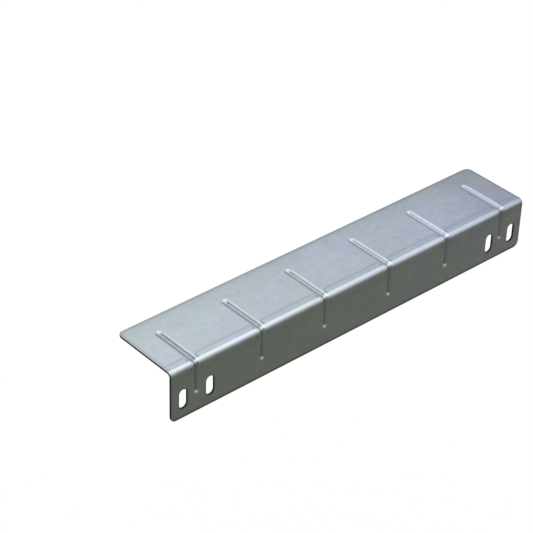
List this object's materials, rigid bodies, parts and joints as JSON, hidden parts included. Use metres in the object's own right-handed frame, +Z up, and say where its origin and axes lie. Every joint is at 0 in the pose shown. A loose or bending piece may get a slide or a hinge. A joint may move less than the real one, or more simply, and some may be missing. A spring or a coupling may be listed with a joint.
{
  "type": "rack support rail",
  "caption": "L-shaped folded sheet-steel rail with stiffening beads pressed across its bend and upright slots at each end, carrying equipment in a rack cabinet.",
  "frame": {"origin": "on the wall's outer face, which lies against the rack's post, at mid-length and at the height of the slots' centres", "axes": "+X along the rail, +Y from the wall's outer face towards the shelf's free edge, +Z up, with the shelf on top"},
  "size_m": [0.35, 0.06, 0.043],
  "materials": {
    "galvanised_sheet": "satin"
  },
  "bodies": {
    "root": {"support_rail": "galvanised_sheet"}
  },
  "joints": []
}
